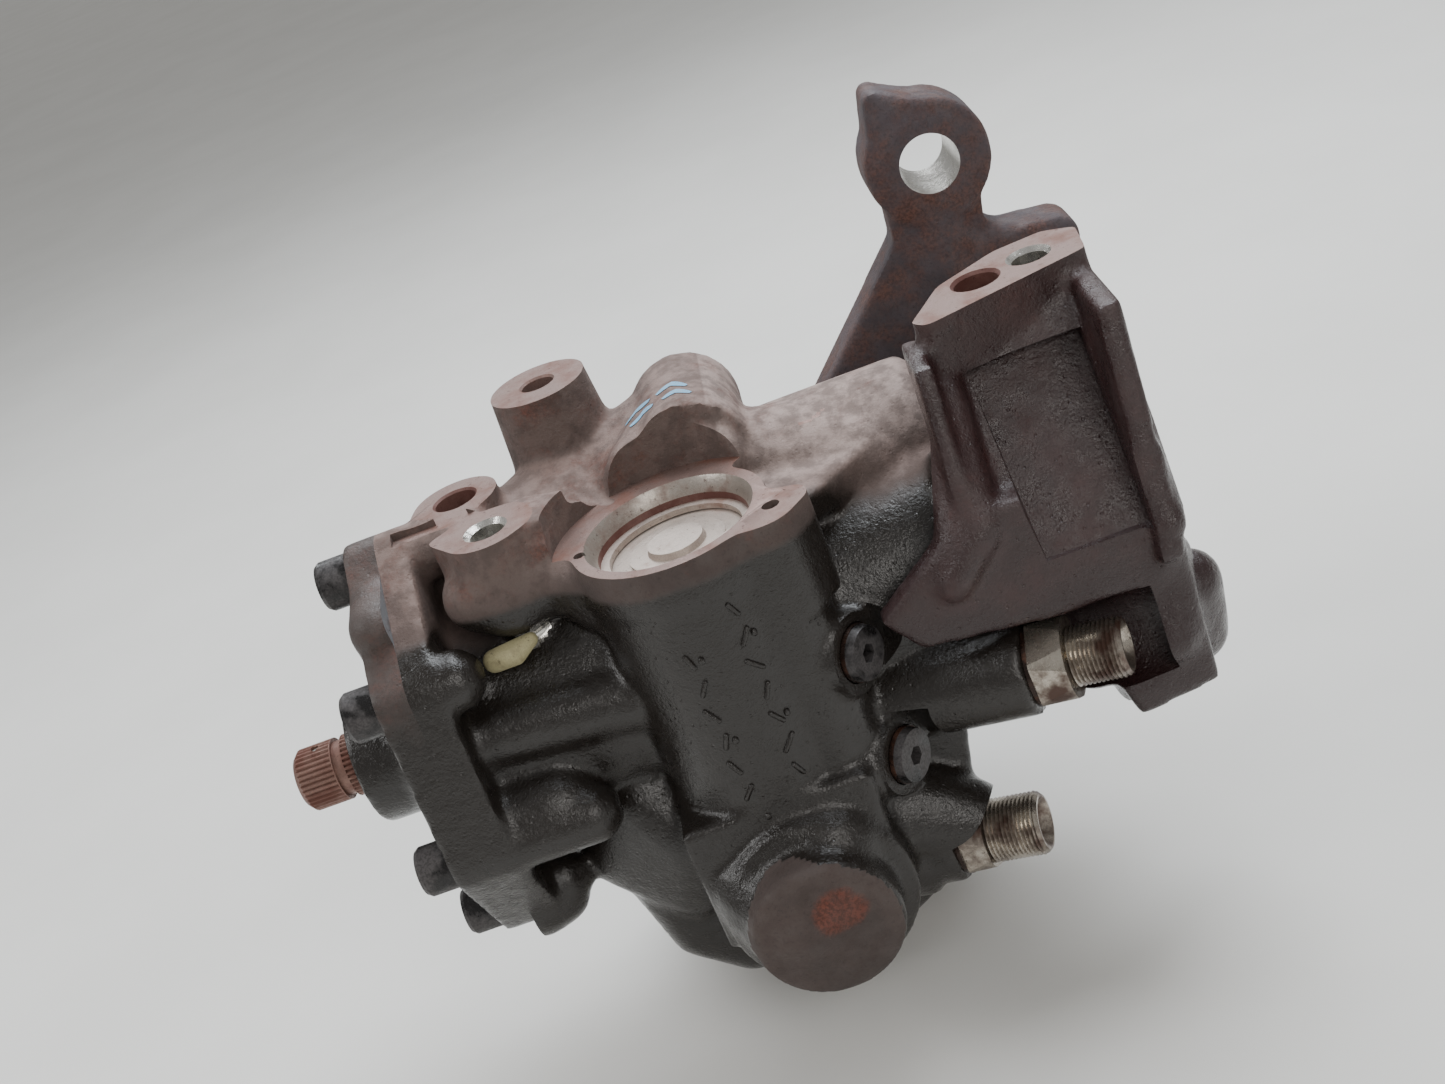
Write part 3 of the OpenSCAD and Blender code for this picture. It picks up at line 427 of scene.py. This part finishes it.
# Mounting bosses, from above: plain, wide and tapped
A, B, C = (-36, 46.5), (-73.5, 14.5), (-60.9, -20)
COL = (-3, -33)
COL_R = 33
RACK_Z = 72
EYE_X, EYE_Z = 122, 180
PAD_TOP = 166
PORTS = ((122, -61.6, 50.1), (79, -53.8, -10.9))
PLUGS = ((39.5, -52, 75.5), (42.2, -52, 32.5))
PORT_TURN = Matrix.Rotation(math.radians(-19), 3, "Z") @ Matrix.Rotation(math.radians(90 - 3.2), 3, "Y")
PORT_DIR = PORT_TURN @ Vector((0, 0, 1))
PLUG_DIR = Matrix.Rotation(math.radians(-38), 3, "Z") @ Vector((1, 0, 0))


def out(place, direction, d):
    """A point d mm along a direction."""
    return tuple(Vector(place) + direction * d)


def rack(x, y, z):
    """A point given from the rack axis."""
    return (x, y, z + RACK_Z)


def flange(x0, x1, r):
    """The lobed plate round the cover's screws."""
    pts = []
    for y, z in COVER_BOLTS:
        for x in (x0, x1):
            pts += circle(rack(x, y, z), (1, 0, 0), r, 32)
    return solid(pts)


def z_rod(c, z0, z1, r, r2=None, seg=48):
    return rod((c[0], c[1], z0), (c[0], c[1], z1), r, r2, seg)


def x_rod(x0, x1, r, r2=None, y=0, z=0, seg=64):
    return rod(rack(x0, y, z), rack(x1, y, z), r, r2, seg)


def y_rod(y0, y1, r, r2=None, x=0, z=0, seg=64):
    return rod((x, y0, z), (x, y1, z), r, r2, seg)


def make_housing():
    up = (0, 0, 1)
    add = [
        z_rod(A, 120, 172, 21, 17.4), z_rod(B, 115, 153, 15.5), z_rod(COL, 20, 139, 33, seg=64),
        solid(
            circle((*C, 122), up, 14.6) + circle((*C, 153), up, 14.6)
            + [(-82, -15, 124), (-82, -15, 153), (-79, -20, 153), (-79, -20, 124)]
        ),
        solid(
            circle((27, -49, 98), up, 12) + circle((27, -49, 139), up, 12)
            + circle((36, -46, 139), up, 7) + circle((36, -46, 98), up, 7)
        ),
        flange(-106, -91, 11), x_rod(70, 113, 43.5),
        # the swelling of the cylinder, its neck and the web behind the column
        balls((30, 24, 108, 27), (58, 22, 105, 30), (76, 14, 98, 28)),
        balls((10, 22, 120, 22), (40, 16, 118, 20), (60, 6, 110, 22)),
        balls((-30, 40, 122, 20), (8, 44, 134, 19), (-2, 10, 122, 24)),
        balls((-60, 20, 128, 14), (-36, 36, 124, 22), (-40, 0, 122, 16)),
        balls((-52, -16, 128, 12), (-26, -26, 118, 20), (-30, 0, 118, 16)),
        # ribs on the cylinder, bolt bosses and the web to the column
        balls((-99, -37, 85, 10), (-66, -37, 84, 11), (-28, -36, 80, 13)),
        balls((-99, -42, 54, 15), (-73, -42, 53, 16)), balls((-99, -26, 8, 13), (-92, -26, 9, 12)),
        balls((-72, -24, 128, 12), (-62, -22, 124, 15), (-46, -22, 128, 12)),
        balls((-50, -24, 126, 8), (-22, -42, 122, 9), (-6, -54, 124, 8)),
        balls((20, -40, 10, 17), (44, -42, 2, 15), (56, -45, -6, 14)),
        balls((-20, -60, 10, 17), (-8, -70, 0, 22), (10, -62, 16, 18)),
        balls((25, -47, 124, 13), (26, -46, 60, 12), (22, -44, 30, 12)),
        balls((-56, -20, 2, 14), (-50, -22, -26, 13), (-34, -24, -38, 13)),
        balls((-48, -26, 36, 17), (-62, -18, 14, 17), (-36, -34, 20, 16), (-44, -26, -2, 16)),
        balls((-8, 8, 134, 15), (14, 4, 133, 14), (2, 26, 134, 18)),
    ]
    for p in PLUGS:
        add.append(rod(out(p, PLUG_DIR, -26), out(p, PLUG_DIR, 5), 14.5, 13))
    cut = [
        z_rod(A, 166, 190, 24), z_rod(B, 148, 170, 17.5), block((-95, -46, 148), (-42, -2, 175)),
        z_rod(COL, 134, 160, 40, seg=64), block((10, -75, 134), (55, -25, 160)),
        block((-140, -90, -40), (-101, 90, 180)),
        block((108, -70, -10), (130, 70, 130)),
        z_rod(A, 130, 170, 6), z_rod(A, 165.2, 167, 6, 7.6),
        z_rod(B, 118, 150, 7.5), z_rod(B, 147.2, 149, 7.5, 9.2),
        z_rod(C, 112, 150, 6), z_rod(C, 146.4, 148.2, 6, 8),
        z_rod(COL, 116, 140, 26, seg=96), z_rod(COL, 129, 134.5, 26, 29.4, seg=96),
        z_rod((-33.6, -34.5), 122, 136, 2), z_rod((30.5, -48), 118, 136, 3),
        rod((20, -52, 136), (36, -41, 136), 2.2, seg=16),
        x_rod(-106, -81, 26.05), x_rod(-82, -77, 19), x_rod(-78, 112, 36.05),
        y_rod(-22, 46, 51.5), y_rod(-66, -21, 23.05), y_rod(40, 46, 56),
    ]
    for p in PLUGS:
        cut.append(rod(out(p, PLUG_DIR, 0), out(p, PLUG_DIR, 12), 17))
        cut.append(rod(out(p, PLUG_DIR, -3), out(p, PLUG_DIR, 2), 10.2))
    for p, low, r in ((PORTS[0], -31.5, 17), (PORTS[1], -30, 15.4)):
        cut.append(rod(out(p, PORT_DIR, low), out(p, PORT_DIR, 8), r))
        cut.append(rod(out(p, PORT_DIR, low - 22), out(p, PORT_DIR, low + 1), 9.4))
    o = cast("housing_casting", ["gear_housing"], add, cut, 0.0017, 9)

    def oil(x, y, z, n):
        front = ramp(-y, 2, 40)
        low = ramp(-z, -112, -70)
        v = max(front * ramp(-z, -133, -118), 0.9 * low * ramp(-y, -20, 25))
        if z > 141 or (z > 132.5 and n.z > 0.8):
            v *= 0.2
        d = math.hypot(x + 1, z) if y < -74 else 99
        return v * (0.35 if d < 26 else 1.0)

    def dust(x, y, z, n):
        # Full strength from x = 20 up lifts the swelling into the paler colour, which is part dust and part
        # painted highlight.
        return ramp(z + 0.55 * y, 85, 125) * (0.75 if x < 20 else 1.0)

    def rust(x, y, z, n):
        a = 0.55 * ramp(30 - math.hypot(x - 6, z - 8) if y < -80 else -1, 16, 24)
        return max(a, 0.3 * ramp(z, 110, 140), 0.15)

    rules = [
        (1, level(166, A, 17.8)), (1, level(148, B, 16)), (1, level(148, C, 22)),
        (1, near_axis(A, 7.7)), (4, near_axis(B, 9.3)), (3, near_axis(C, 8.2)),
        (5, lambda p, n: p[2] > 128.8 and 25.5 < math.hypot(p[0] + 3, p[1] + 33) < 29.8 and n.z < 0.9),
        (6, lambda p, n: 115 < p[2] < 130 and math.hypot(p[0] + 3, p[1] + 33) < 26.5),
        (1, lambda p, n: abs(p[2] - 134) < 0.2 and n.z > 0.9 and p[1] < 10),
    ]
    looks = ["housing", "cut_pink", "cut_grey", "bright", "bore_rust", "cut_pale", "bore_rust"]
    return finish_piece(o, ["gear_housing"], looks, rules, (oil, dust, rust))


def make_cover():
    add = [
        flange(-113, -96, 11), x_rod(-139, -108, 24), x_rod(-124, -110, 24, 33),
        balls((-106, -30, 132, 9), (-104, 0, 134, 12), (-112, 0, 112, 12)),
    ]
    cut = [
        block((-101, -90, -40), (-80, 90, 180)),
        x_rod(-145, -131.5, 16.5), x_rod(-132.5, -121, 15), x_rod(-123, -100, 19),
    ]
    for y, z in COVER_BOLTS:
        cut.append(x_rod(-140, -112.9, 11, y=y, z=z, seg=32))
        cut.append(x_rod(-118, -100, 5.4, y=y, z=z, seg=32))
    o = cast("cover_casting", ["valve_cover"], add, cut, 0.0016, 7)
    return finish_piece(
        o, ["valve_cover"], ["housing", "cut_grey"],
        [(1, lambda p, n: abs(p[0] + 101) < 0.1 and n.x > 0.9)],
        (
            lambda x, y, z, n: 0.45 + 0.5 * ramp(-z, -130, -60),
            lambda x, y, z, n: 0.3 * ramp(z, 90, 130),
            lambda x, y, z, n: 0.32,
        ),
    )


PAD = [(91, -27), (95, -33), (151, -17), (153, 4), (143, 11), (126, 9), (104, -4)]


def make_bracket():
    def slab(z0, z1):
        return solid([(x, y, z) for x, y in PAD for z in (z0, z1)])

    add = [
        slab(146, 171),
        solid([(x, y, z) for x in (90, 147) for y, z in ((-18, 147), (-1, 147), (-50, 92), (-34, 92))]),
        x_rod(103, 122, 45), balls((112, -44, 40, 12), (138, -56, 44, 9), (144, -50, 70, 8)),
        balls((94, -34, 142, 6), (90, -57, 106, 7), (76, -60, 92, 6)),
        balls((149, -21, 146, 4), (148, -44, 118, 4.5), (145, -62, 88, 6)),
        balls((100, -20, 92, 16), (116, -24, 70, 16)),
        balls((150, -40, 52, 11), (148, -34, 30, 12), (132, -46, 34, 10)),
    ]
    cut = [
        block((70, -60, PAD_TOP), (170, 40, 185)), x_rod(40, 108, 44.2),
        z_rod((115.8, -10.2), 145.8, 168, 7.5), z_rod((115.8, -10.2), 164.9, 167, 7.5, 9.3),
        z_rod((134.7, -5.7), 145.8, 168, 6), z_rod((134.7, -5.7), 164.4, 166.4, 6, 8),
        x_rod(107, 113, 33),
    ]
    cut.append(rod(out(PORTS[0], PORT_DIR, -120), out(PORTS[0], PORT_DIR, 12), 17.3))
    # The hollow of the wall under the pad
    cut.append(solid([
        (103, -19, 145.6), (141, -18, 145.6), (140, -57, 88), (106, -58, 88),
        (101, -60, 145.6), (141, -60, 145.6), (140, -74, 88), (104, -78, 88),
    ]))
    for y, z in BRACKET_BOLTS:
        cut.append(x_rod(120, 150, 10.5, y=y, z=z, seg=32))
        cut.append(x_rod(100, 125, 5.5, y=y, z=z, seg=32))
        cut.append(x_rod(70, 108, 9.8, y=y, z=z, seg=32))
    o = cast("bracket_casting", ["end_bracket"], add, cut, 0.0017, 9)
    rules = [
        (4, near_axis((115.8, -10.2), 9.4)), (3, near_axis((134.7, -5.7), 8.2)),
        (1, lambda p, n: abs(p[2] - PAD_TOP) < 0.15 and n.z > 0.9),
    ]
    return finish_piece(
        o, ["end_bracket"], ["bracket", "cut_pink", "cut_grey", "bright", "bore_rust"],
        rules,
        (
            lambda x, y, z, n: 0.55 + 0.4 * ramp(-z, -90, -40),
            lambda x, y, z, n: 0.3 * ramp(z, 120, 165),
            lambda x, y, z, n: 0.3,
        ),
    )


def make_arm():
    def disc(x, z, r, t):
        """Rim points of a disc of half-thickness t, in the arm's own plane."""
        turns = [math.pi * i / 12 for i in range(24)]
        return [(x + r * math.cos(a), y, z + r * math.sin(a)) for a in turns for y in (94 - t, 94 + t)]

    add = [
        y_rod(78, 108, 36), y_rod(81, 107, 23.5, x=EYE_X, z=EYE_Z), y_rod(79.6, 108.6, 17, x=EYE_X, z=EYE_Z),
        solid(disc(110, 207, 4, 11) + disc(118, 186, 16, 11)),
        solid(disc(140, 128, 15, 12) + disc(158, 133, 9, 11)),
        balls((118, 95, 158, 13), (119, 95, 140, 16), (126, 95, 136, 14)),
    ]
    cut = [y_rod(70, 120, 11.5, 9.4, x=EYE_X, z=EYE_Z), y_rod(70, 120, 17.3, 16.5), y_rod(106, 125, 30)]
    o = cast("arm_forging", ["pitman_arm"], add, cut, 0.0017, 8)
    rules = [
        (1, lambda p, n: math.hypot(p[0] - EYE_X, p[2] - EYE_Z) < 12.2 and abs(n.y) < 0.6),
        (1, near_axis((0, 0, 0), 18.5, 1)),
    ]
    return finish_piece(
        o, ["pitman_arm"], ["arm", "bright", "stub"], rules,
        (lambda x, y, z, n: 0.1, lambda x, y, z, n: 0.12 * ramp(z, 100, 190), lambda x, y, z, n: 0.4),
    )


def on_column(angle, z):
    """A place on the skin of the front column."""
    a = math.radians(angle)
    return (COL[0] + COL_R * math.sin(a), COL[1] - COL_R * math.cos(a), z)


def plain_piece(o, body, material):
    o.data.materials.append(M[material])
    o.data.polygons.foreach_set("use_smooth", [True] * len(o.data.polygons))
    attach(o, body)
    return o


def make_marks():
    """Raised founder's marks that spell nothing: short bars and dots in two rows."""
    parts = []
    for row, (angle, top) in enumerate(((-12, 100), (21, 112))):
        for i in range(8):
            z = top - i * 10.5
            lean = (-1) ** i * (2 + i % 3)
            a = on_column(angle - lean, z + 2.2)
            b = on_column(angle + lean * (0.4 + row * 0.4), z - 2.2)
            parts.append(balls((*a, 0.9), (*b, 0.9)))
            if i % 3 == row:
                c = on_column(angle + 6, z)
                parts.append(balls((*c, 1.1), (c[0], c[1], c[2] - 0.6, 1.1)))
    o = plain_piece(joined(parts, "cast_marks"), "housing", "housing")
    layer = o.data.attributes.new("oil", "FLOAT", "POINT")
    layer.data.foreach_set("value", [1.0] * len(o.data.vertices))


def make_paint(target):
    """Four plain strokes of blue marker on the deck."""
    strokes = (
        ((-10, 24), (-5, 27), (1, 23)), ((4, 22), (10, 25), (15, 20)),
        ((-8, 17), (-2, 19), (2, 16)), ((6, 15), (11, 17), (16, 13)),
    )
    above, half_width, steps = 185, 1.5, 8
    bm = bmesh.new()
    for line in strokes:
        corners = [Vector((*a, 0)) for a in line]
        pts = [a.lerp(b, t / steps) for a, b in zip(corners, corners[1:]) for t in range(steps)] + [corners[-1]]
        rows = []
        for i, p in enumerate(pts):
            d = (pts[min(i + 1, len(pts) - 1)] - pts[max(i - 1, 0)]).normalized()
            w = half_width * math.sin(math.pi * (i + 0.8) / (len(pts) + 0.6)) ** 0.35
            side = Vector((-d.y, d.x, 0)) * w
            rows.append([bm.verts.new(P(*(p + side * k).xy, above)) for k in (-1, -0.5, 0, 0.5, 1)])
        for r0, r1 in zip(rows, rows[1:]):
            for k in range(4):
                bm.faces.new((r0[k], r0[k + 1], r1[k + 1], r1[k]))
    o = joined([bm], "paint_strokes")
    m = o.modifiers.new("lay", "SHRINKWRAP")
    m.target = target
    m.wrap_method = "PROJECT"
    m.use_project_z = True
    m.use_negative_direction = True
    m.use_positive_direction = False
    m.offset = 0.00025
    applied(o)
    plain_piece(o, "housing", "paint")


housing = make_housing()
make_cover()
make_bracket()
make_arm()
make_marks()
make_paint(housing)
sealant = joined([balls((-74, -33, 108, 4), (-66, -36, 109, 3.5), (-60, -33, 111, 2.5))], "dried_sealant")
plain_piece(sealant, "housing", "sealant")

FINISH = {
    "stub": ["input_shaft"],
    "plug": ["column_plug", "snap_ring"],
    "union": ["pressure_fitting", "return_fitting", "limiter_seat"],
    "rubber": [
        "bracket_seal", "cover_seal", "input_seal", "input_dust_seal",
        "sector_cover_seal", "sector_oil_seal", "sector_dust_seal", "plug_seal",
    ],
    "plastic": ["sleeve_rings", "piston_ring"],
    "copper": ["fitting_washers", "plug_washers"],
    "inner": [
        "input_bearing", "worm_bearing_outer", "worm_bearing_inner",
        "sector_bearing_front", "sector_bearing_rear", "sector_thrust_washer",
        "worm_shaft", "valve_sleeve", "torsion_bar", "bar_pin_input", "bar_pin_worm",
        "rack_piston", "ball_guides", "guide_clamp", "clamp_screws", "steel_balls", "piston_plug",
        "limiter_spool", "limiter_spring", "sector_shaft",
    ],
    "housing": ["sector_cover"],
}
for key, names in FINISH.items():
    for n in names:
        NODES[n].data.materials.clear()
        NODES[n].data.materials.append(M[key])

# ---------- stage and light ----------


def stage():
    g = Graph("floor")
    col = g.mix(g.band(g.noise(6, 4), 0.3, 0.7), (0.7, 0.69, 0.66), (0.74, 0.73, 0.7))
    m = g.done(col, 0.7, g.bump(g.noise(300, 3), 0.05, 0.0005))
    bpy.ops.mesh.primitive_plane_add(size=30, location=(0.06, 0, cad_lo.z - 0.0005))
    floor = bpy.context.object
    floor.name = "floor"
    floor.data.materials.append(m)
    world = bpy.data.worlds.new("World")
    bpy.context.scene.world = world
    world.use_nodes = True
    world.node_tree.nodes["Background"].inputs[0].default_value = (0.80, 0.80, 0.79, 1)
    world.node_tree.nodes["Background"].inputs[1].default_value = 0.5


def area_light(name, place, size, power, colour=(1, 1, 1)):
    data = bpy.data.lights.new(name, "AREA")
    data.shape = "RECTANGLE"
    data.size, data.size_y = size
    data.energy = power
    data.color = colour
    o = bpy.data.objects.new(name, data)
    bpy.context.scene.collection.objects.link(o)
    o.location = place
    aim = Vector((0.06, -0.05, -0.1)) - Vector(place)
    o.rotation_euler = aim.to_track_quat("-Z", "Y").to_euler()


stage()
area_light("sky", (0.42, 0.42, 1.3), (1.1, 0.8), 27, (0.9, 0.95, 1.0))
area_light("rear", (0.1, 0.95, 0.75), (1.4, 0.35), 9, (0.92, 0.96, 1.0))
area_light("left", (-0.95, -0.2, 0.7), (0.5, 0.5), 6)
area_light("fill", (0.45, -1.25, 0.62), (0.7, 0.45), 7, (1.0, 0.97, 0.93))
